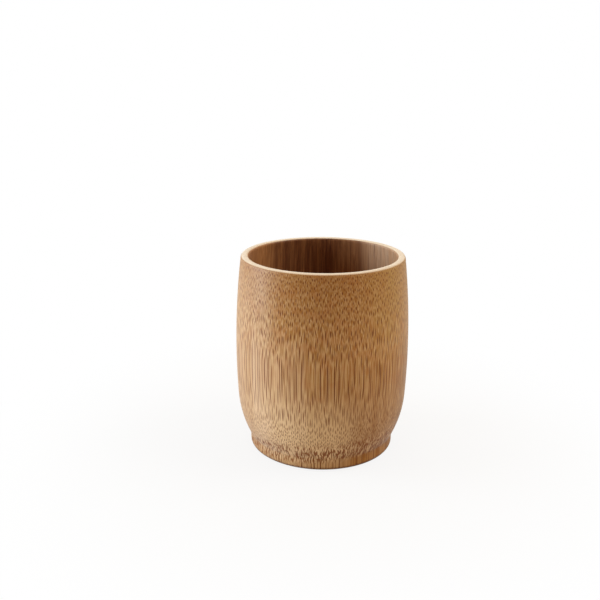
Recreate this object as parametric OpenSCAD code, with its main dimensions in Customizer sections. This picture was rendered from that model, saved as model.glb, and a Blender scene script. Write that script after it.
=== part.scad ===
// Turned bamboo cup. The wall is one length of culm with a growth node at its foot.
// A floor disc is glued onto the ledge that is left at the node.
// The cup's axis is Z, and it stands on z = 0. Each outline is half of a section,
// with the radius across and the height up, and is turned about the axis.

/* [Barrel] */
// Height of the cup from the table to the lip
cup_h = 95; // [88:1:102]
// Diameter at the widest part of the barrel
belly_d = 83; // [70:0.5:98]
// Height of the widest part
belly_z = 49; // [45:1:54]
// Radius of the long arc along the barrel's side
barrel_arc_r = 370; // [300:10:450]
// Height where the long arc passes into the tighter lower arc
shoulder_z = 27; // [23:1:32]

/* [Lip] */
// Thickness of the wall at the lip
lip_w = 3.7; // [3.3:0.1:4.8]
// Rounding of the lip's outer and inner edges
lip_edge_r = 1.2; // [0.6:0.1:1.6]

/* [Foot] */
// How far the foot band's side stands in from the belly
foot_in = 6.5; // [5:0.25:9]
// Height where the lower arc meets the foot band
foot_h = 6; // [4.5:0.5:8]
// Rounding of the hollow corner between the lower arc and the foot band
neck_r = 3; // [1.5:0.5:5]
// Rounding of the foot band's lower edge
foot_edge_r = 2; // [1:0.25:2.5]
// Width of the foot ring, with the rounding of both edges
foot_ring_w = 6.5; // [5.5:0.25:7.5]
// Rounding of the foot ring's inner edge
hollow_edge_r = 1; // [0.5:0.25:1.5]
// Depth of the hollow under the foot
hollow_h = 3; // [2:0.25:3.5]

/* [Inside] */
// Radius of the long arc along the inside of the wall
inside_arc_r = 515; // [460:5:600]
// Radius of the cove between the wall and the floor
cove_r = 8; // [5:0.5:10]

/* [Floor] */
// How far the disc's seat stands in from the foot band's side
seat_in = 3.8; // [3:0.1:5]
// Thickness of the floor disc at its middle
disc_t = 4.4; // [3.4:0.2:6]
// Chamfer of the disc's lower edge, which leads it into the seat
disc_chamfer = 0.5; // [0.2:0.1:1]
// Thickness of the ledge under the disc
ledge_t = 3.4; // [2.6:0.2:5]
// Width of the ledge under the disc
ledge_w = 4.7; // [4:0.1:5.5]
// Glue gap round the disc and under its rim
glue_gap = 0.2; // [0.1:0.05:0.4]

/* [Hidden] */
$fn = 180;
// How far the flats along an arc may stray from it
arc_tol = 0.01;

culm_colour = "#b98f5c";
disc_colour = "#c9a26c";
glue_colour = "#8a5a24";

belly_r = belly_d / 2;
foot_r = belly_r - foot_in;
seat_r = foot_r - seat_in;
disc_r = seat_r - glue_gap;
ledge_bore_r = seat_r - ledge_w;
hollow_r = foot_r - foot_ring_w;
ledge_z = hollow_h + ledge_t;
disc_z = ledge_z + glue_gap;
floor_z = disc_z + disc_t;

// Direction from c to p, as an angle
function bearing(c, p) = atan2(p.y - c.y, p.x - c.x);
// The shorter way round from angle a to angle b
function turn(a, b) = (b - a) - 360 * round((b - a) / 360);
// Flats that keep a turn of radius r within the tolerance
function flats(r, turned) = ceil(abs(turned) / (2 * acos(1 - arc_tol / r)));
// Points of the arc about c from p up to, but without, q
function arc(c, p, q) =
    let (r = norm(p - c), from = bearing(c, p), turned = turn(from, bearing(c, q)), n = flats(r, turned))
    [for (i = [0 : n - 1]) c + r * [cos(from + turned * i / n), sin(from + turned * i / n)]];
// Radius at height z of the right side of the circle of radius r about c
function circle_at(c, r, z) = c.x + sqrt(r ^ 2 - (z - c.y) ^ 2);
// Where the ray from c through p crosses the circle of radius r about c
function on_circle(c, r, p) = c + (p - c) * r / norm(p - c);

// The barrel's long arc is upright at the belly and ends at the shoulder
barrel_c = [belly_r - barrel_arc_r, belly_z];
lip_r = circle_at(barrel_c, barrel_arc_r, cup_h);
shoulder = [circle_at(barrel_c, barrel_arc_r, shoulder_z), shoulder_z];

// The lower arc goes on from the long arc at the shoulder, down to the foot band
foot_corner = [foot_r, foot_h];
inward = (barrel_c - shoulder) / barrel_arc_r;
fall = foot_corner - shoulder;
lower_arc_r = fall * fall / (2 * fall * inward);
lower_c = shoulder + inward * lower_arc_r;

// The hollow corner touches the lower arc and the upright side of the foot band
neck_in = foot_r + neck_r - lower_c.x;
neck_c = [foot_r + neck_r, lower_c.y - sqrt((lower_arc_r + neck_r) ^ 2 - neck_in ^ 2)];
neck_foot = [foot_r, neck_c.y];
neck_top = on_circle(lower_c, lower_arc_r, neck_c);

// The foot ring's two roundings
foot_edge_c = [foot_r - foot_edge_r, foot_edge_r];
hollow_edge_c = [hollow_r + hollow_edge_r, hollow_edge_r];

// The inside's long arc is upright at the belly too
inside_lip_r = lip_r - lip_w;
inside_c = [inside_lip_r - sqrt(inside_arc_r ^ 2 - (cup_h - belly_z) ^ 2), belly_z];

// The cove touches the inside's arc and the floor
cove_z = floor_z + cove_r;
cove_c = [circle_at(inside_c, inside_arc_r - cove_r, cove_z), cove_z];
cove_top = on_circle(inside_c, inside_arc_r, cove_c);

// The lip's two roundings touch its flat top and the long arcs
lip_edge_z = cup_h - lip_edge_r;
lip_out_c = [circle_at(barrel_c, barrel_arc_r - lip_edge_r, lip_edge_z), lip_edge_z];
lip_in_c = [circle_at(inside_c, inside_arc_r + lip_edge_r, lip_edge_z), lip_edge_z];
lip_out_foot = on_circle(barrel_c, barrel_arc_r, lip_out_c);
lip_in_foot = on_circle(inside_c, inside_arc_r, lip_in_c);

// Height of the cup's inner surface at radius r, from the axis out to the cove's top
function floor_at(r) = cove_z - sqrt(cove_r ^ 2 - max(0, r - cove_c.x) ^ 2);
// Points of the cove from p down to radius r, which may lie on the flat floor
function cove_down(p, r) =
    let (low = [max(r, cove_c.x), floor_at(r)])
    concat(arc(cove_c, p, low), [low], r < cove_c.x ? [[r, floor_z]] : []);

// Outer side of the wall, from the foot ring's inner edge up to the lip's flat top
outer_side = concat(
    arc(hollow_edge_c, [hollow_r, hollow_edge_c.y], [hollow_edge_c.x, 0]),
    [[hollow_edge_c.x, 0]],
    arc(foot_edge_c, [foot_edge_c.x, 0], [foot_r, foot_edge_c.y]),
    [[foot_r, foot_edge_c.y]],
    arc(neck_c, neck_foot, neck_top),
    arc(lower_c, neck_top, shoulder),
    arc(barrel_c, shoulder, lip_out_foot),
    arc(lip_out_c, lip_out_foot, [lip_out_c.x, cup_h]),
    [[lip_out_c.x, cup_h]]
);

// Inner side of the wall, from the lip's flat top down to the disc's seat
inner_side = concat(
    arc(lip_in_c, [lip_in_c.x, cup_h], lip_in_foot),
    arc(inside_c, lip_in_foot, cove_top),
    cove_down(cove_top, seat_r)
);

// Ledge at the node, from the disc's seat down to the hollow under the foot
ledge = [
    [seat_r, ledge_z],
    [ledge_bore_r, ledge_z],
    [ledge_bore_r, hollow_h],
    [hollow_r, hollow_h]
];

// Turned wall: barrel, lip, neck and foot in one piece of culm
module culm_wall() {
    color(culm_colour)
        rotate_extrude()
            polygon(concat(outer_side, inner_side, ledge));
}

// Floor disc, its rim turned to the cove together with the wall
module floor_disc() {
    under = [[0, disc_z], [disc_r - disc_chamfer, disc_z], [disc_r, disc_z + disc_chamfer]];
    color(disc_colour)
        rotate_extrude()
            polygon(concat(under, cove_down([disc_r, floor_at(disc_r)], 0)));
}

// Cured glue: a film round the disc's edge and a bed under its rim
module glue_seal() {
    color(glue_colour)
        rotate_extrude()
            polygon([
                [ledge_bore_r, ledge_z],
                [seat_r, ledge_z],
                [seat_r, floor_at(seat_r)],
                [disc_r, floor_at(disc_r)],
                [disc_r, disc_z + disc_chamfer],
                [disc_r - disc_chamfer, disc_z],
                [ledge_bore_r, disc_z]
            ]);
}

culm_wall();
floor_disc();
glue_seal();
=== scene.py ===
"""Looks of a cup turned from one length of bamboo culm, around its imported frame.

The wall, the floor disc and the glue ring are spun from half sections whose sizes follow
the frame. Their materials are cut from one model of the culm: fibre bundles stand upright
in rings, and each turned surface shows them where it passes through them.
"""

import logging
import math
from dataclasses import dataclass, field
from enum import Enum

import bmesh
import bpy
from mathutils import Matrix, Vector


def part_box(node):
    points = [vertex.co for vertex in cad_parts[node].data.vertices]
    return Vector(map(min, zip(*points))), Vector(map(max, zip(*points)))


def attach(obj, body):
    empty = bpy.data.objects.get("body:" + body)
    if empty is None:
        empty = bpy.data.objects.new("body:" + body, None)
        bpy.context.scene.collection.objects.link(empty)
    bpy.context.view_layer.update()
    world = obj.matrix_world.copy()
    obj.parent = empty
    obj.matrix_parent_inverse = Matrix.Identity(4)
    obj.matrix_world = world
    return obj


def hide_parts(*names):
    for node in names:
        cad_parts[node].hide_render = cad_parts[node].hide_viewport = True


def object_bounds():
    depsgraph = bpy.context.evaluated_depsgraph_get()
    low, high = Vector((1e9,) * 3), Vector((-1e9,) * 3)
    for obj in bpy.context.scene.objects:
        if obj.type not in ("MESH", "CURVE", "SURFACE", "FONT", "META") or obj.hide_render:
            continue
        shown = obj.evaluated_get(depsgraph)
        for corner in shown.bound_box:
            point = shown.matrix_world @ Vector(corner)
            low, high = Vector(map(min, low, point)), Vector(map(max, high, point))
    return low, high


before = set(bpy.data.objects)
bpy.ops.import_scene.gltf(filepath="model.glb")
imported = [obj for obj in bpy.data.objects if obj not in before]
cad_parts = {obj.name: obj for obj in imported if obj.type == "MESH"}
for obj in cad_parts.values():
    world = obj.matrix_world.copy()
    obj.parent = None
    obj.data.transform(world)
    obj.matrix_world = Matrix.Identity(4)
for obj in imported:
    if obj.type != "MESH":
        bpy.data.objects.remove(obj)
cad_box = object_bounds()

log = logging.getLogger("bamboo_cup")

MM = 0.001
IMAGE_PX = 600
SENSOR_MM = 36.0
BODY = "root"

MATH = "ShaderNodeMath"
VECTOR = "ShaderNodeVectorMath"
RANGE = "ShaderNodeMapRange"
MIX = "ShaderNodeMix"
NOISE = "ShaderNodeTexNoise"
WHITE = "ShaderNodeTexWhiteNoise"
# Sockets of a colour Mix node
MIX_A = 6
MIX_B = 7


class Side(Enum):
    """Which side of the wall a finish lies on."""

    OUTER = 0
    INNER = 1


def linear(colour: str) -> tuple[float, float, float, float]:
    """Turn an sRGB hex colour into linear values.

    Args:
        colour: Six hex digits after a hash sign.

    Returns:
        Red, green, blue and an alpha of one.
    """
    channels = []
    for start in (1, 3, 5):
        value = int(colour[start : start + 2], 16) / 255
        channels.append(value / 12.92 if value <= 0.04045 else ((value + 0.055) / 1.055) ** 2.4)
    return (*channels, 1.0)


def add(tree: bpy.types.NodeTree, kind: str, links: dict | None = None, **settings: object) -> bpy.types.Node:
    """Add a node, set its properties and fill its sockets.

    Args:
        tree: Node tree that takes the node.
        kind: Type name of the node.
        links: Input's index or name, with what fills it: a plain value, a socket, or a
            node, which stands for its first output in use.
        **settings: Properties of the node itself, such as operation.

    Returns:
        The new node.
    """
    node = tree.nodes.new(kind)
    for name, value in settings.items():
        setattr(node, name, value)
    for name, value in (links or {}).items():
        if isinstance(value, bpy.types.Node):
            value = next(socket for socket in value.outputs if socket.enabled)
        if isinstance(value, bpy.types.NodeSocket):
            tree.links.new(value, node.inputs[name])
        else:
            node.inputs[name].default_value = value
    return node


@dataclass
class Section:
    """Half section of a turned piece, drawn like a lathe profile and spun about Z.

    Lengths are in millimetres, with the radius across and the height up.
    """

    mesh: bmesh.types.BMesh = field(default_factory=bmesh.new)
    first: bmesh.types.BMVert | None = None
    tip: bmesh.types.BMVert | None = None

    def start(self, r: float, z: float) -> "Section":
        """Put the profile's first point down."""
        self.tip = bmesh.ops.create_vert(self.mesh, co=(r * MM, 0, z * MM))["vert"][0]
        self.first = self.tip
        return self

    def line(self, r: float, z: float, cuts: int = 0) -> "Section":
        """Draw a straight run from the last point.

        Args:
            r: Radius of the run's end.
            z: Height of the run's end.
            cuts: Points to put along the run.

        Returns:
            This section.
        """
        step = (Vector((r * MM, 0, z * MM)) - self.tip.co) / (cuts + 1)
        for _ in range(cuts + 1):
            self.tip = bmesh.ops.extrude_vert_indiv(self.mesh, verts=[self.tip])["verts"][0]
            bmesh.ops.translate(self.mesh, verts=[self.tip], vec=step)
        return self

    def arc(self, centre: Vector, end: Vector, flats: int) -> "Section":
        """Spin the last point round a centre until it reaches the ray through an end point.

        Args:
            centre: Radius and height of the arc's centre.
            end: Radius and height of a point on the ray where the arc ends.
            flats: Edges along the arc.

        Returns:
            This section.
        """
        hub = Vector((centre[0] * MM, 0, centre[1] * MM))
        here = self.tip.co - hub
        turned = math.atan2(end[1] - centre[1], end[0] - centre[0]) - math.atan2(here.z, here.x)
        turned -= math.tau * round(turned / math.tau)
        made = bmesh.ops.spin(
            self.mesh, geom=[self.tip], cent=hub, axis=(0, -1, 0), angle=turned, steps=flats
        )
        self.tip = next(e for e in made["geom_last"] if isinstance(e, bmesh.types.BMVert))
        return self

    def turned(self, name: str, steps: int, crease_deg: float = 32.0) -> bpy.types.Object:
        """Spin the profile once round Z and make it an object.

        Args:
            name: Name of the piece.
            steps: Flats round the axis.
            crease_deg: Angle between two faces above which the edge between them is sharp.

        Returns:
            The turned piece, linked to the scene.
        """
        mesh = self.mesh
        off_axis = min(self.first.co.x, self.tip.co.x) > MM / 10
        if off_axis:
            self.line(self.first.co.x / MM, self.first.co.z / MM)
        bmesh.ops.remove_doubles(mesh, verts=mesh.verts[:], dist=MM / 1000)
        bmesh.ops.spin(
            mesh,
            geom=mesh.verts[:] + mesh.edges[:],
            cent=(0, 0, 0),
            axis=(0, 0, 1),
            angle=math.tau,
            steps=steps,
            use_merge=True,
        )
        bmesh.ops.remove_doubles(mesh, verts=mesh.verts[:], dist=MM / 1000)
        bmesh.ops.recalc_face_normals(mesh, faces=mesh.faces[:])
        for face in mesh.faces:
            face.smooth = True
        for edge in mesh.edges:
            edge.smooth = edge.calc_face_angle(0) < math.radians(crease_deg)
        shell = bpy.data.meshes.new(name)
        mesh.to_mesh(shell)
        mesh.free()
        piece = bpy.data.objects.new(name, shell)
        bpy.context.scene.collection.objects.link(piece)
        return piece


def on_circle(centre: Vector, radius: float, z: float) -> Vector:
    """Point at height z on the right side of a circle in the section."""
    return Vector((centre[0] + math.sqrt(radius**2 - (z - centre[1]) ** 2), z))


@dataclass
class CupSizes:
    """Sizes of the cup's section in millimetres, worked out from the frame's boxes."""

    belly_z: float = 49.0
    barrel_arc_r: float = 370.0
    shoulder_z: float = 27.0
    lip_w: float = 3.7
    lip_edge_r: float = 1.2
    foot_in: float = 6.5
    foot_h: float = 6.0
    neck_r: float = 3.0
    foot_edge_r: float = 2.0
    foot_ring_w: float = 6.5
    hollow_edge_r: float = 1.0
    hollow_h: float = 3.0
    inside_arc_r: float = 515.0
    cove_r: float = 8.0
    disc_t: float = 4.4
    disc_chamfer: float = 0.5
    ledge_w: float = 4.7

    def __post_init__(self) -> None:
        """Read the frame and work out the arcs that touch each other."""
        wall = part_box("culm_wall")[1] / MM
        disc_low, disc_high = (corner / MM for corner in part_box("floor_disc"))
        glue_low, glue_high = (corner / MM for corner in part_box("glue_seal"))
        self.cup_h = wall.z
        self.belly_r = wall.x
        self.foot_r = self.belly_r - self.foot_in
        self.hollow_r = self.foot_r - self.foot_ring_w
        self.disc_r = disc_high.x
        self.disc_z = disc_low.z
        self.seat_r = glue_high.x
        self.ledge_z = glue_low.z
        self.bore_r = self.seat_r - self.ledge_w
        self.floor_z = self.disc_z + self.disc_t

        self.barrel_c = Vector((self.belly_r - self.barrel_arc_r, self.belly_z))
        self.shoulder = on_circle(self.barrel_c, self.barrel_arc_r, self.shoulder_z)
        inward = (self.barrel_c - self.shoulder) / self.barrel_arc_r
        fall = Vector((self.foot_r, self.foot_h)) - self.shoulder
        lower_arc_r = fall.dot(fall) / (2 * fall.dot(inward))
        self.lower_c = self.shoulder + inward * lower_arc_r
        neck_x = self.foot_r + self.neck_r
        drop = math.sqrt((lower_arc_r + self.neck_r) ** 2 - (neck_x - self.lower_c.x) ** 2)
        self.neck_c = Vector((neck_x, self.lower_c.y - drop))

        lip_in_r = on_circle(self.barrel_c, self.barrel_arc_r, self.cup_h).x - self.lip_w
        rise = self.cup_h - self.belly_z
        self.inside_c = Vector((lip_in_r - math.sqrt(self.inside_arc_r**2 - rise**2), self.belly_z))
        cove_z = self.floor_z + self.cove_r
        self.cove_c = on_circle(self.inside_c, self.inside_arc_r - self.cove_r, cove_z)
        edge_z = self.cup_h - self.lip_edge_r
        self.lip_out_c = on_circle(self.barrel_c, self.barrel_arc_r - self.lip_edge_r, edge_z)
        self.lip_in_c = on_circle(self.inside_c, self.inside_arc_r + self.lip_edge_r, edge_z)

    def cove_at(self, r: float) -> float:
        """Height of the cove at radius r."""
        return self.cove_c.y - math.sqrt(self.cove_r**2 - (r - self.cove_c.x) ** 2)

    def side_r(self, z: float) -> float:
        """Radius of the barrel's side at height z above the shoulder."""
        return on_circle(self.barrel_c, self.barrel_arc_r, z).x


@dataclass(frozen=True)
class Bundles:
    """One kind of strand in the culm, standing upright in rings round its axis.

    Attributes:
        columns: Strands in one ring; even, so that staggered columns close round the culm.
        pitch_mm: Distance from one ring to the next.
        half_width_mm: Half a strand's width round the culm.
        half_depth_mm: Half its depth through the wall.
        stray: How far a strand may stand off its place, as a share of its cell.
        faintest: Strength of the faintest strand, where the strongest has one.
        seed: Number that sets this kind's random draws.
    """

    columns: int
    pitch_mm: float
    half_width_mm: float
    half_depth_mm: float
    stray: float
    faintest: float
    seed: float


# Bundles of the outer wall: about 1 mm apart round the culm and 0.42 mm between rings
OUTER_BUNDLES = Bundles(
    columns=252, pitch_mm=0.42, half_width_mm=0.22, half_depth_mm=0.12, stray=0.4, faintest=0.6, seed=3.0
)
# Bundles nearer the bore are broader, deeper and fewer
INNER_BUNDLES = Bundles(
    columns=150, pitch_mm=0.8, half_width_mm=0.42, half_depth_mm=0.28, stray=0.4, faintest=0.1, seed=11.0
)
# Small strands of fibre between the bundles
FIBRE_STRANDS = Bundles(
    columns=386, pitch_mm=0.3, half_width_mm=0.17, half_depth_mm=0.08, stray=0.5, faintest=0.0, seed=23.0
)


@dataclass
class CulmTissue:
    """The culm's own structure in a node tree, in millimetres about the cup's axis.

    Attributes:
        tree: Node tree that holds the structure.
        figure_z: Heights between which the growth node's figure shows, on the cup's axis.
        figure_tilt: Rise of the node across the culm, along X.
        curl: How far the strands stray there, in millimetres.
        lean: How far the rings lean with height, as a slope.
        deep_r: Radius where the inner bundles have taken over from the outer ones.
    """

    tree: bpy.types.NodeTree
    figure_z: tuple[float, float] = (3.0, 17.0)
    figure_tilt: float = 0.08
    curl: float = 1.8
    lean: float = -0.01
    deep_r: float = 36.0

    def __post_init__(self) -> None:
        """Lay out the strand coordinates: angle, radius and height."""
        tree = self.tree
        spot = add(tree, "ShaderNodeTexCoord").outputs["Object"]
        self.place = add(tree, VECTOR, {0: spot, "Scale": 1 / MM}, operation="SCALE")
        self.height = add(tree, "ShaderNodeSeparateXYZ", {0: self.place}).outputs["Z"]

        # The culm didn't grow quite on the lathe's axis, and its strands sway on the way up
        grown = add(
            tree,
            "ShaderNodeMapping",
            {0: self.place, "Location": (0.25, -0.15, 0), "Rotation": (0.003, -0.002, 0)},
        )
        upright = add(tree, VECTOR, {0: self.place, 1: (1, 1, 0.3)}, operation="MULTIPLY")
        sway = add(tree, NOISE, {"Vector": upright, "Scale": 1 / 9, "Detail": 1.5})
        swayed = add(
            tree, VECTOR, {0: sway.outputs["Color"], 1: (0.8, 0.8, 0), 2: (-0.4, -0.4, 0)},
            operation="MULTIPLY_ADD",
        )
        moved = add(tree, VECTOR, {0: grown, 1: swayed}, operation="ADD")

        # At the growth node the strands cross over and curl
        across = add(tree, "ShaderNodeSeparateXYZ", {0: self.place}).outputs["X"]
        level = add(tree, MATH, {0: across, 1: -self.figure_tilt, 2: self.height}, operation="MULTIPLY_ADD")
        low, high = self.figure_z
        rising = add(
            tree, RANGE, {"Value": level, "From Min": low, "From Max": low + 3}, interpolation_type="SMOOTHSTEP"
        )
        falling = add(
            tree, RANGE, {"Value": level, "From Min": high, "From Max": high - 6}, interpolation_type="SMOOTHSTEP"
        )
        self.figure = add(tree, MATH, {0: rising, 1: falling}, operation="MULTIPLY")
        churn = add(tree, NOISE, {"Vector": self.place, "Scale": 1 / 4.0, "Detail": 1.0})
        centred = add(tree, VECTOR, {0: churn.outputs["Color"], 1: (0.5, 0.5, 0.5)}, operation="SUBTRACT")
        reach = add(tree, MATH, {0: self.figure, 1: self.curl}, operation="MULTIPLY")
        curls = add(tree, VECTOR, {0: centred, "Scale": reach.outputs[0]}, operation="SCALE")
        self.strand = add(tree, VECTOR, {0: moved, 1: curls}, operation="ADD")

        axes = add(tree, "ShaderNodeSeparateXYZ", {0: self.strand})
        self.angle = add(tree, MATH, {0: axes.outputs["Y"], 1: axes.outputs["X"]}, operation="ARCTAN2")
        flat = add(tree, VECTOR, {0: self.strand, 1: (1, 1, 0)}, operation="MULTIPLY")
        self.radius = add(tree, VECTOR, {0: flat}, operation="LENGTH").outputs["Value"]
        leaning = add(tree, MATH, {0: self.height, 1: self.lean, 2: self.radius}, operation="MULTIPLY_ADD")
        # Near the growth node the rings close in towards the axis
        near_node = add(tree, RANGE, {"Value": self.height, "From Min": 25, "From Max": 6})
        closing = add(tree, MATH, {0: near_node, 1: 3.0}, operation="POWER")
        self.ring = add(tree, MATH, {0: closing, 1: 2.8, 2: leaning}, operation="MULTIPLY_ADD")
        self.laid = add(tree, "ShaderNodeCombineXYZ", {"X": self.angle, "Y": self.ring, "Z": self.height})
        self.deep = add(
            tree,
            RANGE,
            {"Value": self.radius, "From Min": self.deep_r + 1.6, "From Max": self.deep_r},
            interpolation_type="SMOOTHSTEP",
        )

    def bundles(self, kind: Bundles) -> tuple[bpy.types.Node, bpy.types.Node]:
        """Draw one kind of strand.

        Args:
            kind: The strands to draw.

        Returns:
            Two nodes: the strands, from zero between them to each one's own strength on
            it, and their cores, where the vessels' pores are.
        """
        tree = self.tree
        column = add(tree, MATH, {0: self.angle, 1: kind.columns / math.tau}, operation="MULTIPLY")
        number = add(tree, MATH, {0: column}, operation="FLOOR")
        named = add(tree, MATH, {0: number, 1: kind.seed}, operation="ADD")
        lift = add(tree, WHITE, {"W": named}, noise_dimensions="1D")
        stagger = add(
            tree, MATH, {0: lift.outputs["Value"], 1: kind.stray, 2: kind.seed}, operation="MULTIPLY_ADD"
        )
        shift = add(tree, MATH, {0: number, 1: 0.5, 2: stagger}, operation="MULTIPLY_ADD")
        ring = add(tree, MATH, {0: self.ring, 1: 1 / kind.pitch_mm, 2: shift}, operation="MULTIPLY_ADD")
        grid = add(tree, "ShaderNodeCombineXYZ", {"X": column, "Y": ring, "Z": kind.seed})
        cell = add(tree, VECTOR, {0: grid}, operation="FLOOR")
        draw = add(tree, WHITE, {"Vector": cell}, noise_dimensions="3D")
        own = add(
            tree,
            VECTOR,
            {0: draw.outputs["Color"], 1: (kind.stray,) * 3, 2: ((1 - kind.stray) / 2,) * 3},
            operation="MULTIPLY_ADD",
        )
        within = add(tree, VECTOR, {0: grid}, operation="FRACTION")
        off = add(tree, VECTOR, {0: within, 1: own}, operation="SUBTRACT")
        # A strand gets slimmer up the culm
        column_mm = math.tau * 39 / kind.columns
        slim = add(tree, RANGE, {"Value": self.height, "From Min": 25, "From Max": 85, "To Min": 0.75, "To Max": 1.4})
        through = add(tree, MATH, {0: slim, 1: kind.pitch_mm / kind.half_depth_mm}, operation="MULTIPLY")
        stretch = add(tree, "ShaderNodeCombineXYZ", {"X": column_mm / kind.half_width_mm, "Y": through})
        stretched = add(tree, VECTOR, {0: off, 1: stretch}, operation="MULTIPLY")
        distance = add(tree, VECTOR, {0: stretched}, operation="LENGTH").outputs["Value"]
        body = add(
            tree, RANGE, {"Value": distance, "From Min": 1.12, "From Max": 0.68}, interpolation_type="SMOOTHSTEP"
        )
        strength = add(tree, RANGE, {"Value": draw.outputs["Value"], "To Min": kind.faintest})
        strands = add(tree, MATH, {0: body, 1: strength}, operation="MULTIPLY")
        middle = add(
            tree, RANGE, {"Value": distance, "From Min": 0.7, "From Max": 0.3}, interpolation_type="SMOOTHSTEP"
        )
        return strands, add(tree, MATH, {0: middle, 1: strength}, operation="MULTIPLY")

    def curls(self) -> tuple[bpy.types.Node, bpy.types.Node]:
        """Draw the growth node's short, wavy strokes.

        Returns:
            Two nodes: the dark strokes, and the pale ones between them.
        """
        tree = self.tree
        drawn = add(tree, VECTOR, {0: self.laid, 1: (37, 0.4, 0.2)}, operation="MULTIPLY")
        hills = add(tree, NOISE, {"Vector": drawn, "Scale": 1 / 0.52, "Detail": 0.5})
        line = add(tree, RANGE, {"Value": hills, "From Min": 0.5, "From Max": 0.58}, interpolation_type="SMOOTHSTEP")
        spot = add(tree, RANGE, {"Value": hills, "From Min": 0.46, "From Max": 0.36}, interpolation_type="SMOOTHSTEP")
        return (
            add(tree, MATH, {0: line, 1: self.figure}, operation="MULTIPLY"),
            add(tree, MATH, {0: spot, 1: self.figure}, operation="MULTIPLY"),
        )

    def fibre(self, size_mm: float, detail: float) -> bpy.types.Node:
        """Noise of marks that are long up the culm and thin through its wall.

        Args:
            size_mm: Width of its marks round the culm.
            detail: Octaves of finer marks.

        Returns:
            Noise node, which varies about one half.
        """
        drawn = add(self.tree, VECTOR, {0: self.laid, 1: (39, 2.5, 0.02)}, operation="MULTIPLY")
        return add(self.tree, NOISE, {"Vector": drawn, "Scale": 1 / size_mm, "Detail": detail})


@dataclass(frozen=True)
class PaintedSideTone:
    """A tone that one side of the culm takes, in upright bands.

    Attributes:
        colour: The painted lighter or darker tone.
        bearing_deg: Direction of the side, from X towards Y.
        begins: Cosine of the angle off that direction where the tone begins.
        heights: Height where it begins and height where it is full, in millimetres.
        share: How far it covers what is below, where it is full.
    """

    colour: str
    bearing_deg: float
    begins: float
    heights: tuple[float, float]
    share: float

    def spread(self, tissue: CulmTissue, bands: bpy.types.Node) -> bpy.types.Node:
        """Work out how far the tone covers each point.

        Args:
            tissue: The culm that takes the tone.
            bands: Share of the tone in each upright band.

        Returns:
            Node with the tone's share.
        """
        tree = tissue.tree
        bearing = math.radians(self.bearing_deg)
        towards = (math.cos(bearing), math.sin(bearing), 0)
        side = add(tree, VECTOR, {0: tissue.place, 1: towards}, operation="DOT_PRODUCT")
        facing = add(tree, MATH, {0: side.outputs["Value"], 1: tissue.radius}, operation="DIVIDE")
        turned = {"Value": facing, "From Min": self.begins, "From Max": 0.95, "To Max": self.share}
        shade = add(tree, RANGE, turned, interpolation_type="SMOOTHSTEP")
        start, full = self.heights
        reached = add(tree, RANGE, {"Value": tissue.height, "From Min": start, "From Max": full})
        banded = add(tree, MATH, {0: shade, 1: bands}, operation="MULTIPLY")
        return add(tree, MATH, {0: banded, 1: reached}, operation="MULTIPLY")


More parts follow.
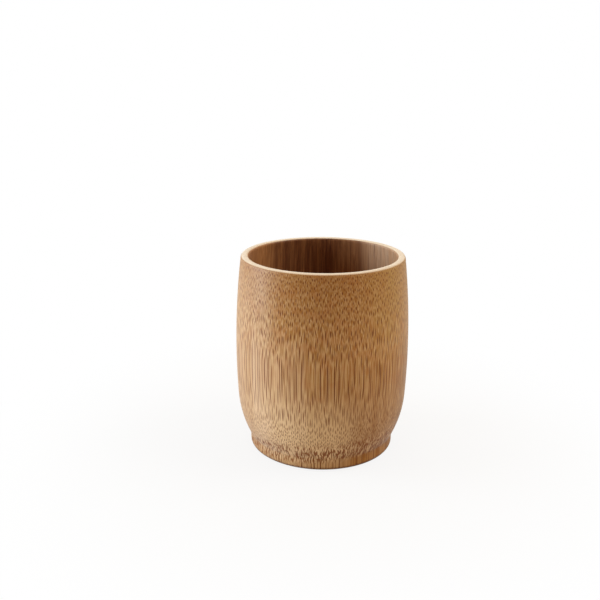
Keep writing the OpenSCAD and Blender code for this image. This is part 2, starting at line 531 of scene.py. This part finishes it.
@dataclass(frozen=True)
class CulmFinish:
    """Moso bamboo, turned and sanded, under a thin coat of satin lacquer.

    Vascular bundles, thin dark strands in pale ground tissue, stand upright in rings.
    Where a surface runs along them they show as streaks, and where it slopes as dashes.

    Attributes:
        name: Name of the material.
        pale: Colour of the palest ground tissue.
        ground: Colour of most ground tissue.
        cap: Colour of the fibre caps and of broad darker bands.
        dash: Colour of the outer bundles.
        core: Colour of the pores in the bundles.
        deep: Colour of the broad inner bundles.
        spot: Colour of the pale spots between the growth node's curled strands.
        curl: Colour of those strands.
        lip: Colour of the cut lip, sanded pale, and painted lighter still as light falling from above.
        node_side_and_bounce: Colour of the denser tissue towards the growth node, made lighter also as painted light
            bounced up from the floor.
        up_culm_shade: Colour of the tissue towards the top, browner as painted shade.
        red: Colour of the redder patches.
        stain: Colour of the stain round the foot.
        painted_sides: Painted light, sheen, reflection and shade, as lighter and darker tones on the culm's flanks.
        lip_z: Height of the lip in millimetres.
        roughness: Roughness of the lacquer.
        sheen: Weight of the haze that raised fibre ends give at a grazing view.
        specular: Strength of the lacquer's gloss, where 0.5 is the full gloss of its IOR.
        banding: How far the broad bands take the cap's colour.
        threads: How far lighter fibres show on the sides' own tones.
        node_share: How far the denser tissue takes its colour, painted bounce light included.
        staining: How far the stain covers the foot's edge.
        lean: How far the culm's rings lean with height, as a slope.
        showing: How far the broad inner bundles show.
        relief_mm: Depth of the pores below the surface.
    """

    name: str
    pale: str
    ground: str
    cap: str
    dash: str
    core: str
    deep: str
    spot: str
    curl: str
    lip: str
    lip_z: float
    node_side_and_bounce: str
    up_culm_shade: str
    red: str
    stain: str
    painted_sides: tuple[PaintedSideTone, ...]
    roughness: float = 0.45
    sheen: float = 0.18
    specular: float = 0.2
    # threads: How far lighter fibres show over the painted light and shade of the flanks.
    banding: float = 0.22
    threads: float = 0.0
    node_share: float = 0.83
    staining: float = 0.4
    lean: float = -0.01
    showing: float = 0.8
    relief_mm: float = 0.04

    def material(self) -> bpy.types.Material:
        """Build the node material."""
        made = bpy.data.materials.new(self.name)
        made.use_nodes = True
        tree = made.node_tree
        tree.nodes.clear()
        tissue = CulmTissue(tree, lean=self.lean)
        outer, outer_core = tissue.bundles(OUTER_BUNDLES)
        inner, inner_core = tissue.bundles(INNER_BUNDLES)
        strands, _ = tissue.bundles(FIBRE_STRANDS)

        # Ground tissue: pale and darker fibres side by side, in broad soft bands
        fine = add(tree, RANGE, {"Value": tissue.fibre(0.38, 0.5), "From Min": 0.4, "From Max": 0.64, "To Max": 0.68})
        tone = self.over(tree, linear(self.ground), self.pale, fine)
        broad = add(
            tree,
            RANGE,
            {"Value": tissue.fibre(1.6, 2), "From Min": 0.46, "From Max": 0.6, "To Max": self.banding},
        )
        tone = self.over(tree, tone, self.cap, broad)
        patch = add(tree, NOISE, {"Vector": tissue.place, "Scale": 1 / 5.0, "Detail": 2.0})
        redder = add(tree, RANGE, {"Value": patch, "From Min": 0.45, "From Max": 0.65, "To Max": 0.25})
        tone = self.over(tree, tone, self.red, redder)
        # Denser tissue above the growth node, made lighter also as painted light bounced up from the floor, and
        # painted shade that browns the tissue towards the top
        height = tissue.height
        below = add(tree, RANGE, {"Value": height, "From Min": 5, "From Max": 9, "To Min": 0.55})
        dense = add(tree, RANGE, {"Value": height, "From Min": 50, "From Max": 20}, interpolation_type="SMOOTHSTEP")
        lit_pale_share = add(tree, MATH, {0: dense, 1: below}, operation="MULTIPLY")
        tone = self.over(tree, tone, self.node_side_and_bounce, add(tree, MATH, {0: lit_pale_share, 1: self.node_share}, operation="MULTIPLY"))
        shaded_top = add(tree, RANGE, {"Value": height, "From Min": 60, "From Max": 92, "To Max": 0.45})
        tone = self.over(tree, tone, self.up_culm_shade, shaded_top)
        # Painted light and shade: the flanks are painted lighter for lamp light, grazing sheen and a reflection, and
        # darker for shade, in upright bands
        bands = add(tree, RANGE, {"Value": tissue.fibre(3.5, 3), "From Min": 0.4, "From Max": 0.62, "To Min": 0.6})
        for side in self.painted_sides:
            tone = self.over(tree, tone, side.colour, side.spread(tissue, bands))
        threads = add(tree, MATH, {0: fine, 1: self.threads}, operation="MULTIPLY")
        tone = self.over(tree, tone, self.red, threads)

        # The foot's edge is stained by wet tables
        stain = add(tree, RANGE, {"Value": height, "From Min": 8, "From Max": 3, "To Max": self.staining})
        tone = self.over(tree, tone, self.stain, stain)

        # The lip is cut across the grain and sanded pale, and painted lighter still as light falling on it from above
        lip_share = add(
            tree,
            RANGE,
            {"Value": tissue.height, "From Min": self.lip_z - 0.5, "From Max": self.lip_z - 0.1, "To Max": 0.95},
            interpolation_type="SMOOTHSTEP",
        )
        tone = self.over(tree, tone, self.lip, lip_share)

        # Strands on it, the outer ones fading out where the inner ones begin, and faint on
        # the lip, where they show as end grain
        finer = add(tree, MATH, {0: dense, 1: 0.3, 2: 0.5}, operation="MULTIPLY_ADD")
        finer = add(tree, MATH, {0: finer, 1: lip_share}, operation="SUBTRACT", use_clamp=True)
        tone = self.over(tree, tone, self.dash, add(tree, MATH, {0: strands, 1: finer}, operation="MULTIPLY"))
        near = add(tree, MATH, {0: 1.0, 1: tissue.deep}, operation="SUBTRACT")
        faint = add(tree, MATH, {0: dense, 1: -0.4, 2: 1.0}, operation="MULTIPLY_ADD")
        sanded = add(tree, MATH, {0: lip_share, 1: -0.8, 2: 1.0}, operation="MULTIPLY_ADD")
        near = add(tree, MATH, {0: near, 1: faint}, operation="MULTIPLY")
        near = add(tree, MATH, {0: near, 1: sanded}, operation="MULTIPLY")
        outer_here = add(tree, MATH, {0: outer, 1: near}, operation="MULTIPLY")
        tone = self.over(tree, tone, self.dash, outer_here)
        outer_core_here = add(tree, MATH, {0: outer_core, 1: near}, operation="MULTIPLY")
        tone = self.over(tree, tone, self.core, outer_core_here)
        far = add(tree, MATH, {0: tissue.deep, 1: self.showing}, operation="MULTIPLY")
        far = add(tree, MATH, {0: far, 1: sanded}, operation="MULTIPLY")
        inner_here = add(tree, MATH, {0: inner, 1: far}, operation="MULTIPLY")
        tone = self.over(tree, tone, self.deep, inner_here)
        inner_core_here = add(tree, MATH, {0: inner_core, 1: far}, operation="MULTIPLY")
        tone = self.over(tree, tone, self.core, inner_core_here)
        curled, spots = tissue.curls()
        tone = self.over(tree, tone, self.spot, add(tree, MATH, {0: spots, 1: 0.7 * self.showing}, operation="MULTIPLY"))
        tone = self.over(tree, tone, self.curl, add(tree, MATH, {0: curled, 1: 1.15 * self.showing}, operation="MULTIPLY"))

        # Painted shade: the lower edge is painted dark as the shadow close to the floor, less so on the ring that it
        # stands on
        painted_edge_shade = add(tree, RANGE, {"Value": height, "From Min": 2.2, "From Max": 0.6, "To Max": 0.8})
        eased_on_standing_ring = add(tree, RANGE, {"Value": height, "From Min": 0.05, "From Max": 0.4, "To Min": 0.4})
        tone = self.over(tree, tone, self.core, add(tree, MATH, {0: painted_edge_shade, 1: eased_on_standing_ring}, operation="MULTIPLY"))

        # Bundles are open pores, and the fibres stand a little proud of the ground
        pores = add(tree, MATH, {0: outer_here, 1: inner_here}, operation="MAXIMUM")
        sunk = add(tree, MATH, {0: pores, 1: -1.0, 2: 1.0}, operation="MULTIPLY_ADD")
        grain = add(tree, MATH, {0: fine, 1: 0.25, 2: sunk}, operation="MULTIPLY_ADD")
        relief = add(tree, "ShaderNodeBump", {"Height": grain, "Distance": self.relief_mm * MM, "Strength": 0.7})
        gloss = {
            "Roughness": self.roughness,
            "IOR": 1.5,
            "Specular IOR Level": self.specular,
            "Sheen Weight": self.sheen,
            "Sheen Roughness": 0.4,
        }
        shader = add(tree, "ShaderNodeBsdfPrincipled", {"Base Color": tone, "Normal": relief, **gloss})
        add(tree, "ShaderNodeOutputMaterial", {"Surface": shader})
        return made

    def over(
        self, tree: bpy.types.NodeTree, below: object, colour: str, share: bpy.types.Node
    ) -> bpy.types.Node:
        """Lay a colour over what is below, as far as its share goes."""
        return add(tree, MIX, {0: share, MIX_A: below, MIX_B: linear(colour)}, data_type="RGBA")


@dataclass(frozen=True)
class BoardFinish:
    """Pressed bamboo board, cut to a disc and faced on the lathe with the bore.

    Split strips are pressed side by side, so each has a tone of its own, a thin dark glue
    line along its edges and, here and there, the mark of a growth node across it. The
    facing cut leaves faint rings, which catch the light under the oil.

    Attributes:
        name: Name of the material.
        pale: Colour of the palest fibres.
        ground: Colour of the palest strips' ground.
        brown: Colour of the darkest strips' ground.
        dash: Colour of the bundles, cut lengthwise.
        joint: Colour of the glue lines and the node marks.
        strip_mm: Width of one strip.
        cut_mm: Distance between the facing cut's rings; cut finer, but drawn so as to show.
        roughness: Roughness of the oiled face.
    """

    name: str
    pale: str
    ground: str
    brown: str
    dash: str
    joint: str
    strip_mm: float = 5.5
    cut_mm: float = 0.9
    roughness: float = 0.5

    def material(self) -> bpy.types.Material:
        """Build the node material, with the strips' grain along X."""
        made = bpy.data.materials.new(self.name)
        made.use_nodes = True
        tree = made.node_tree
        tree.nodes.clear()
        spot = add(tree, "ShaderNodeTexCoord").outputs["Object"]
        place = add(tree, VECTOR, {0: spot, "Scale": 1 / MM}, operation="SCALE")
        axes = add(tree, "ShaderNodeSeparateXYZ", {0: place})

        # Strips across Y, each with its own tone
        column = add(tree, MATH, {0: axes.outputs["Y"], 1: 1 / self.strip_mm, 2: 0.5}, operation="MULTIPLY_ADD")
        number = add(tree, MATH, {0: column}, operation="FLOOR")
        draw = add(tree, WHITE, {"W": number}, noise_dimensions="1D")
        tone = self.over(tree, linear(self.ground), self.brown, draw)
        slid = add(tree, "ShaderNodeCombineXYZ", {"X": add(tree, MATH, {0: draw, 1: 300.0}, operation="MULTIPLY")})
        drawn = add(tree, VECTOR, {0: place, 1: slid}, operation="ADD")
        along = add(tree, VECTOR, {0: drawn, 1: (1 / 45, 1, 1)}, operation="MULTIPLY")
        fine = add(tree, NOISE, {"Vector": along, "Scale": 1 / 0.3, "Detail": 2.0})
        fibres = add(tree, RANGE, {"Value": fine, "From Min": 0.4, "From Max": 0.62, "To Max": 0.8})
        tone = self.over(tree, tone, self.pale, fibres)
        lines = add(tree, NOISE, {"Vector": along, "Scale": 1 / 0.55, "Detail": 1.0})
        bundles = add(tree, RANGE, {"Value": lines, "From Min": 0.56, "From Max": 0.64, "To Max": 0.75})
        tone = self.over(tree, tone, self.dash, bundles)

        # A node mark crosses a strip about every 70 mm, bowed and soft at its edges
        bowed = add(tree, NOISE, {"Vector": drawn, "Scale": 1 / 6.0, "Detail": 1.0})
        slid_x = add(tree, "ShaderNodeSeparateXYZ", {0: drawn}).outputs["X"]
        waved = add(tree, MATH, {0: bowed, 1: 3.0, 2: slid_x}, operation="MULTIPLY_ADD")
        turns = add(tree, MATH, {0: waved, 1: 1 / 70}, operation="MULTIPLY")
        within = add(tree, MATH, {0: turns}, operation="FRACT")
        off = add(tree, MATH, {0: within, 1: 0.5}, operation="SUBTRACT")
        away = add(tree, MATH, {0: off}, operation="ABSOLUTE")
        mark = add(tree, RANGE, {"Value": away, "From Min": 0.016, "From Max": 0.004, "To Max": 0.55})
        tone = self.over(tree, tone, self.joint, mark)

        # Glue lines between the strips, drawn 0.25 mm wide
        side = add(tree, MATH, {0: column}, operation="FRACT")
        edge = add(tree, MATH, {0: side, 1: 0.5}, operation="SUBTRACT")
        edge = add(tree, MATH, {0: edge}, operation="ABSOLUTE")
        glued = {"Value": edge, "From Min": 0.5 - 0.25 / self.strip_mm, "From Max": 0.5, "To Max": 0.7}
        joint = add(tree, RANGE, glued)
        tone = self.over(tree, tone, self.joint, joint)

        flat = add(tree, VECTOR, {0: place, 1: (1, 1, 0)}, operation="MULTIPLY")
        radius = add(tree, VECTOR, {0: flat}, operation="LENGTH").outputs["Value"]
        rings = add(tree, MATH, {0: radius, 1: math.tau / self.cut_mm}, operation="MULTIPLY")
        wave = add(tree, MATH, {0: rings}, operation="SINE")
        sunk = add(tree, MATH, {0: bundles, 1: -2.0, 2: wave}, operation="MULTIPLY_ADD")
        relief = add(tree, "ShaderNodeBump", {"Height": sunk, "Distance": 0.006 * MM, "Strength": 0.8})
        worn = add(tree, RANGE, {"Value": fine, "To Min": self.roughness - 0.1, "To Max": self.roughness + 0.12})
        gloss = {"Roughness": worn, "IOR": 1.5, "Specular IOR Level": 0.4}
        shader = add(tree, "ShaderNodeBsdfPrincipled", {"Base Color": tone, "Normal": relief, **gloss})
        add(tree, "ShaderNodeOutputMaterial", {"Surface": shader})
        return made

    def over(self, tree: bpy.types.NodeTree, below: object, colour: str, share: bpy.types.Node) -> bpy.types.Node:
        """Lay a colour over what is below, as far as its share goes."""
        return add(tree, MIX, {0: share, MIX_A: below, MIX_B: linear(colour)}, data_type="RGBA")


@dataclass(frozen=True)
class GlueFinish:
    """Cured epoxy: amber and glossy, with small bubbles and dull, dusty patches.

    Attributes:
        name: Name of the material.
        amber: Colour where the film is thick.
        thin: Colour where the wood shows through it.
        bubble_mm: Distance between bubbles, which are drawn larger than they are.
    """

    name: str
    amber: str
    thin: str
    bubble_mm: float = 1.1

    def material(self) -> bpy.types.Material:
        """Build the node material."""
        made = bpy.data.materials.new(self.name)
        made.use_nodes = True
        tree = made.node_tree
        tree.nodes.clear()
        spot = add(tree, "ShaderNodeTexCoord").outputs["Object"]
        clouds = add(tree, NOISE, {"Vector": spot, "Scale": 1 / (1.5 * MM), "Detail": 3.0})
        share = add(tree, RANGE, {"Value": clouds, "From Min": 0.35, "From Max": 0.65})
        tone = add(tree, MIX, {0: share, MIX_A: linear(self.amber), MIX_B: linear(self.thin)}, data_type="RGBA")
        cells = add(tree, "ShaderNodeTexVoronoi", {"Vector": spot, "Scale": 1 / (self.bubble_mm * MM)})
        bubble = add(tree, RANGE, {"Value": cells.outputs["Distance"], "From Min": 0.2, "From Max": 0.08})
        tone = add(tree, MIX, {0: bubble, MIX_A: tone, MIX_B: linear("#d2a468")}, data_type="RGBA")
        relief = add(tree, "ShaderNodeBump", {"Height": bubble, "Distance": 0.05 * MM, "Strength": 0.6})
        dull = add(tree, RANGE, {"Value": clouds, "From Min": 0.4, "From Max": 0.7, "To Min": 0.22, "To Max": 0.5})
        gloss = {"Roughness": dull, "IOR": 1.55}
        shader = add(tree, "ShaderNodeBsdfPrincipled", {"Base Color": tone, "Normal": relief, **gloss})
        add(tree, "ShaderNodeOutputMaterial", {"Surface": shader})
        return made


@dataclass
class CulmWall:
    """The turned wall: barrel, lip, neck and foot band in one piece of culm."""

    sizes: CupSizes
    steps: int = 256

    def build(self) -> bpy.types.Object:
        """Spin the wall's section.

        Returns:
            The wall, whose inner side dress later puts in the second material slot.
        """
        s = self.sizes
        hollow_edge_c = Vector((s.hollow_r + s.hollow_edge_r, s.hollow_edge_r))
        foot_edge_c = Vector((s.foot_r - s.foot_edge_r, s.foot_edge_r))
        seat_top = Vector((s.seat_r, s.cove_at(s.seat_r)))
        section = Section().start(s.bore_r, s.hollow_h)
        section.line(s.hollow_r, s.hollow_h, cuts=2)
        section.line(s.hollow_r, s.hollow_edge_r, cuts=2)
        section.arc(hollow_edge_c, Vector((hollow_edge_c.x, 0)), 6)
        section.line(foot_edge_c.x, 0, cuts=3)
        section.arc(foot_edge_c, Vector((s.foot_r, foot_edge_c.y)), 8)
        section.line(s.foot_r, s.neck_c.y, cuts=3)
        section.arc(s.neck_c, s.lower_c, 5)
        section.arc(s.lower_c, s.shoulder, 24)
        section.arc(s.barrel_c, s.lip_out_c, 60)
        section.arc(s.lip_out_c, s.lip_out_c + Vector((0, 1)), 8)
        section.line(s.lip_in_c.x, s.cup_h, cuts=2)
        section.arc(s.lip_in_c, s.inside_c, 8)
        section.arc(s.inside_c, s.cove_c, 50)
        section.arc(s.cove_c, seat_top, 10)
        section.line(s.seat_r, s.ledge_z, cuts=2)
        section.line(s.bore_r, s.ledge_z, cuts=1)
        wall = section.turned("culm_wall_turned", self.steps)
        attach(wall, BODY)
        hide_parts("culm_wall")
        return wall

    def dress(self, wall: bpy.types.Object) -> None:
        """Give the outer and the inner side their finishes.

        Args:
            wall: The turned wall.
        """
        s = self.sizes
        outer = CulmFinish(
            name="turned_moso_lacquered",
            pale="#d8b07c",
            ground="#a47238",
            cap="#966228",
            dash="#723802",
            core="#522400",
            deep="#784000",
            spot="#dfb98c",
            curl="#7a3e00",
            lip="#d8c4a6",
            # The lighter node side and browner top are partly painted bounce light and painted shade
            node_side_and_bounce="#d2ae80",
            up_culm_shade="#864e00",
            red="#a65e2a",
            stain="#b07a38",
            # Painted light, sheen, reflection and shade on the outer flanks
            painted_sides=(
                PaintedSideTone("#ac8a46", bearing_deg=-20, begins=0.62, heights=(45, 75), share=0.45),
                PaintedSideTone("#ceac8a", bearing_deg=-155, begins=0.76, heights=(115, 50), share=0.5),
                PaintedSideTone("#ac7c50", bearing_deg=-170, begins=0.76, heights=(75, 35), share=0.55),
                PaintedSideTone("#864e00", bearing_deg=-44, begins=0.74, heights=(60, 5), share=1.0),
                PaintedSideTone("#e0bc96", bearing_deg=-120, begins=0.92, heights=(70, 50), share=0.32),
                PaintedSideTone("#e4c292", bearing_deg=-94, begins=0.82, heights=(38, 18), share=0.44),
                PaintedSideTone("#84540f", bearing_deg=-4, begins=0.88, heights=(66, 42), share=0.6),
            ),
            lip_z=s.cup_h,
        )
        inner = CulmFinish(
            name="bored_moso_sanded",
            pale="#d4a06a",
            ground="#ac7444",
            cap="#84542c",
            dash="#5e300e",
            core="#4a240a",
            deep="#5a2c0c",
            spot="#c8925a",
            curl="#5a2c0c",
            lip="#d8c4a6",
            # The lighter node side and browner top are partly painted bounce light and painted shade
            node_side_and_bounce="#b07e4c",
            up_culm_shade="#a06c38",
            red="#9a5c2c",
            stain="#a46c28",
            # Painted shade on the far wall of the bore, and a painted grey sheen on its right
            painted_sides=(
                PaintedSideTone("#441600", bearing_deg=95, begins=0.58, heights=(-10, 10), share=0.95),
                PaintedSideTone("#b89c7e", bearing_deg=26, begins=0.84, heights=(-10, 10), share=0.6),
            ),
            lip_z=s.cup_h,
            roughness=0.55,
            sheen=0.1,
            specular=0.25,
            banding=0.7,
            threads=0.3,
            node_share=0.85,
            lean=0.055,
            showing=0.4,
        )
        for finish in (outer, inner):
            wall.data.materials.append(finish.material())
        for face in wall.data.polygons:
            bored = face.normal.x * face.center.x + face.normal.y * face.center.y < 0
            above = face.center.z > s.ledge_z * MM
            face.material_index = (Side.INNER if bored and above else Side.OUTER).value


@dataclass
class FloorDisc:
    """The turned disc that closes the bottom."""

    sizes: CupSizes
    steps: int = 192

    def build(self) -> bpy.types.Object:
        """Spin the disc's section."""
        s = self.sizes
        section = Section().start(0, s.disc_z)
        section.line(s.disc_r - s.disc_chamfer, s.disc_z, cuts=8)
        section.line(s.disc_r, s.disc_z + s.disc_chamfer)
        section.line(s.disc_r, s.cove_at(s.disc_r), cuts=2)
        section.arc(s.cove_c, s.cove_c + Vector((0, -1)), 8)
        section.line(0, s.floor_z, cuts=8)
        disc = section.turned("floor_disc_turned", self.steps)
        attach(disc, BODY)
        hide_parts("floor_disc")
        return disc

    def dress(self, disc: bpy.types.Object) -> None:
        """Give the disc its board grain."""
        finish = BoardFinish(
            name="pressed_bamboo_board",
            pale="#b88a54",
            ground="#9c7040",
            brown="#7a5026",
            dash="#603814",
            joint="#4a2a0e",
        )
        disc.data.materials.append(finish.material())


@dataclass
class GlueSeal:
    """The cured glue between the disc and the wall."""

    sizes: CupSizes
    steps: int = 192

    def build(self) -> bpy.types.Object:
        """Spin the glue's section."""
        s = self.sizes
        section = Section().start(s.bore_r, s.ledge_z)
        section.line(s.seat_r, s.ledge_z)
        section.line(s.seat_r, s.cove_at(s.seat_r))
        section.line(s.disc_r, s.cove_at(s.disc_r))
        section.line(s.disc_r, s.disc_z + s.disc_chamfer)
        section.line(s.disc_r - s.disc_chamfer, s.disc_z)
        section.line(s.bore_r, s.disc_z)
        glue = section.turned("glue_seal_cured", self.steps)
        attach(glue, BODY)
        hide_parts("glue_seal")
        return glue

    def dress(self, glue: bpy.types.Object) -> None:
        """Give the glue its amber."""
        glue.data.materials.append(GlueFinish(name="cured_epoxy", amber="#6e3e12", thin="#96682e").material())


@dataclass(frozen=True)
class Softbox:
    """A round soft lamp that looks at the cup.

    Attributes:
        name: Name of the lamp.
        azimuth_deg: Direction in which it hangs: 0 towards the camera, 90 to the right.
        elevation_deg: Its height above the cup's middle, as an angle.
        power: Its power in watts.
        colour: Its colour as linear red, green and blue.
        away_m: Its distance from the cup's middle.
        width_m: Its diameter.
    """

    name: str
    azimuth_deg: float
    elevation_deg: float
    power: float
    colour: tuple[float, float, float] = (1.0, 1.0, 1.0)
    away_m: float = 0.9
    width_m: float = 0.6

    def hang(self, target: Vector) -> None:
        """Hang the lamp and turn it to the target.

        Args:
            target: Middle of the cup.
        """
        lamp = bpy.data.lights.new(self.name, "AREA")
        lamp.shape = "DISK"
        lamp.size = self.width_m
        lamp.energy = self.power
        lamp.color = self.colour
        turn = Matrix.Rotation(math.radians(self.azimuth_deg), 3, "Z")
        lift = Matrix.Rotation(math.radians(-self.elevation_deg), 3, "X")
        away = turn @ lift @ Vector((0, -self.away_m, 0))
        holder = bpy.data.objects.new(self.name, lamp)
        holder.location = target + away
        holder.rotation_euler = (-away).to_track_quat("-Z", "Y").to_euler()
        bpy.context.scene.collection.objects.link(holder)


@dataclass
class Studio:
    """Pale floor, white surroundings, soft lamps and the photograph's camera."""

    middle: Vector
    floor_size_m: float = 6.0
    focal_px: float = 800.0
    camera_back_mm: float = 367.4
    camera_up_mm: float = 182.0
    pitch_deg: float = 16.64
    yaw_deg: float = 1.677
    roll_deg: float = 0.185

    def floor(self) -> None:
        """Lay the pale floor, which looks white to the camera and keeps the shadow."""
        plane = bmesh.new()
        bmesh.ops.create_grid(plane, x_segments=1, y_segments=1, size=self.floor_size_m / 2)
        shell = bpy.data.meshes.new("studio_floor")
        plane.to_mesh(shell)
        plane.free()
        ground = bpy.data.objects.new("studio_floor", shell)
        bpy.context.scene.collection.objects.link(ground)
        made = bpy.data.materials.new("white_table")
        made.use_nodes = True
        tree = made.node_tree
        tree.nodes.clear()
        paint = add(tree, "ShaderNodeBsdfDiffuse", {"Color": (0.68, 0.65, 0.6, 1)})
        glow = add(tree, "ShaderNodeEmission", {"Color": (1, 1, 1, 1), "Strength": 1.0})
        # The table's own white takes over from its lit paint away from the cup
        spot = add(tree, "ShaderNodeTexCoord").outputs["Object"]
        reach = add(tree, VECTOR, {0: spot}, operation="LENGTH")
        own = add(
            tree,
            RANGE,
            {"Value": reach.outputs["Value"], "From Min": 0.05, "From Max": 0.18, "To Min": 0.86, "To Max": 1.0},
            interpolation_type="SMOOTHSTEP",
        )
        path = add(tree, "ShaderNodeLightPath")
        share = add(tree, MATH, {0: path.outputs["Is Camera Ray"], 1: own}, operation="MULTIPLY")
        surface = add(tree, "ShaderNodeMixShader", {0: share, 1: paint, 2: glow})
        add(tree, "ShaderNodeOutputMaterial", {"Surface": surface})
        shell.materials.append(made)

    def surroundings(self) -> None:
        """White for the camera, and a dim warm bounce for the light on the cup."""
        world = bpy.data.worlds.new("studio")
        bpy.context.scene.world = world
        world.use_nodes = True
        tree = world.node_tree
        tree.nodes.clear()
        path = add(tree, "ShaderNodeLightPath")
        seen = add(tree, MATH, {0: path.outputs["Is Glossy Ray"], 1: path.outputs["Is Camera Ray"]}, operation="MAXIMUM")
        white = add(tree, "ShaderNodeBackground", {"Color": (1, 1, 1, 1), "Strength": seen})
        bounce = add(tree, MATH, {0: path.outputs["Is Diffuse Ray"], 1: 0.44}, operation="MULTIPLY")
        warm = add(tree, "ShaderNodeBackground", {"Color": (1.2, 1.0, 0.8, 1), "Strength": bounce})
        both = add(tree, "ShaderNodeAddShader", {0: white, 1: warm})
        add(tree, "ShaderNodeOutputWorld", {"Surface": both})

    def lamps(self) -> None:
        """Hang the key lamp on the left, a weaker one behind on the right and one above."""
        boxes = (
            Softbox("left_softbox", -90, 14, power=12.1, colour=(0.65, 0.81, 1.0)),
            Softbox("right_softbox", 90, 45, power=4.2),
            Softbox("top_softbox", 180, 80, power=1.5),
        )
        for box in boxes:
            box.hang(self.middle)

    def camera(self) -> None:
        """Place the camera where the photograph was taken from."""
        lens = bpy.data.cameras.new("photo_camera")
        lens.sensor_width = SENSOR_MM
        lens.lens = self.focal_px * SENSOR_MM / IMAGE_PX
        lens.clip_start = 0.01
        holder = bpy.data.objects.new("photo_camera", lens)
        tilt = Matrix.Rotation(math.radians(90 - self.pitch_deg), 4, "X")
        aim = Matrix.Rotation(math.radians(self.yaw_deg), 4, "Z") @ tilt
        place = Matrix.Translation((0, -self.camera_back_mm * MM, self.camera_up_mm * MM))
        holder.matrix_world = place @ aim @ Matrix.Rotation(math.radians(self.roll_deg), 4, "Z")
        bpy.context.scene.collection.objects.link(holder)
        bpy.context.scene.camera = holder

    def build(self) -> None:
        """Set the whole studio up."""
        self.floor()
        self.surroundings()
        self.lamps()
        self.camera()
        bpy.context.scene.view_settings.view_transform = "Standard"


def main() -> None:
    """Build the cup's pieces and the studio."""
    logging.basicConfig(level=logging.INFO, format="%(message)s")
    sizes = CupSizes()
    for part in (CulmWall(sizes), FloorDisc(sizes), GlueSeal(sizes)):
        piece = part.build()
        part.dress(piece)
        log.info("%s: %d faces", piece.name, len(piece.data.polygons))
    low, high = cad_box
    Studio(middle=(low + high) / 2).build()


if __name__ == "__main__":
    main()
